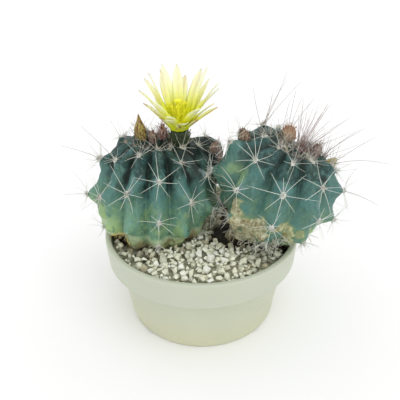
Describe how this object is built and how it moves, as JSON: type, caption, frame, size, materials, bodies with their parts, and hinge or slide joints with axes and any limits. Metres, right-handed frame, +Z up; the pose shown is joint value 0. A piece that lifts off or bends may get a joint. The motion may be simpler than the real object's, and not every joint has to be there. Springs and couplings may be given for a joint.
{
  "type": "potted texas barrel cactus",
  "caption": "Round-pot plant of two ribbed, spiny cactus stems in gritty soil, with an open yellow flower and buds.",
  "frame": {"origin": "centre of the pot's flat underside", "axes": "+Z up, -Y towards the front, +X towards the leaning right stem"},
  "size_m": [0.2391, 0.165, 0.2073],
  "materials": {
    "pot_plastic": "smooth moulded plastic, pale sage",
    "soil": "dark crumbly potting soil",
    "grit": "pale angular stone chips",
    "cactus_skin": "waxy blue-green skin with pale spines",
    "flower_green": "scaly olive green",
    "petal": "silky pale yellow",
    "stamen": "yellow pollen",
    "bud": "brown-tipped papery scales"
  },
  "bodies": {
    "root": {"pot": "pot_plastic", "soil": "soil", "grit": "grit", "cactus_left": "cactus_skin", "cactus_right": "cactus_skin", "flower_tube": "flower_green", "flower_petals": "petal", "flower_stamens": "stamen", "bud_tall": "bud", "bud_scaly": "bud", "bud_grey": "bud", "bud_side": "bud", "bud_withered": "bud", "bud_woolly": "bud", "bud_fruit": "bud", "bud_brown": "bud"}
  },
  "joints": []
}
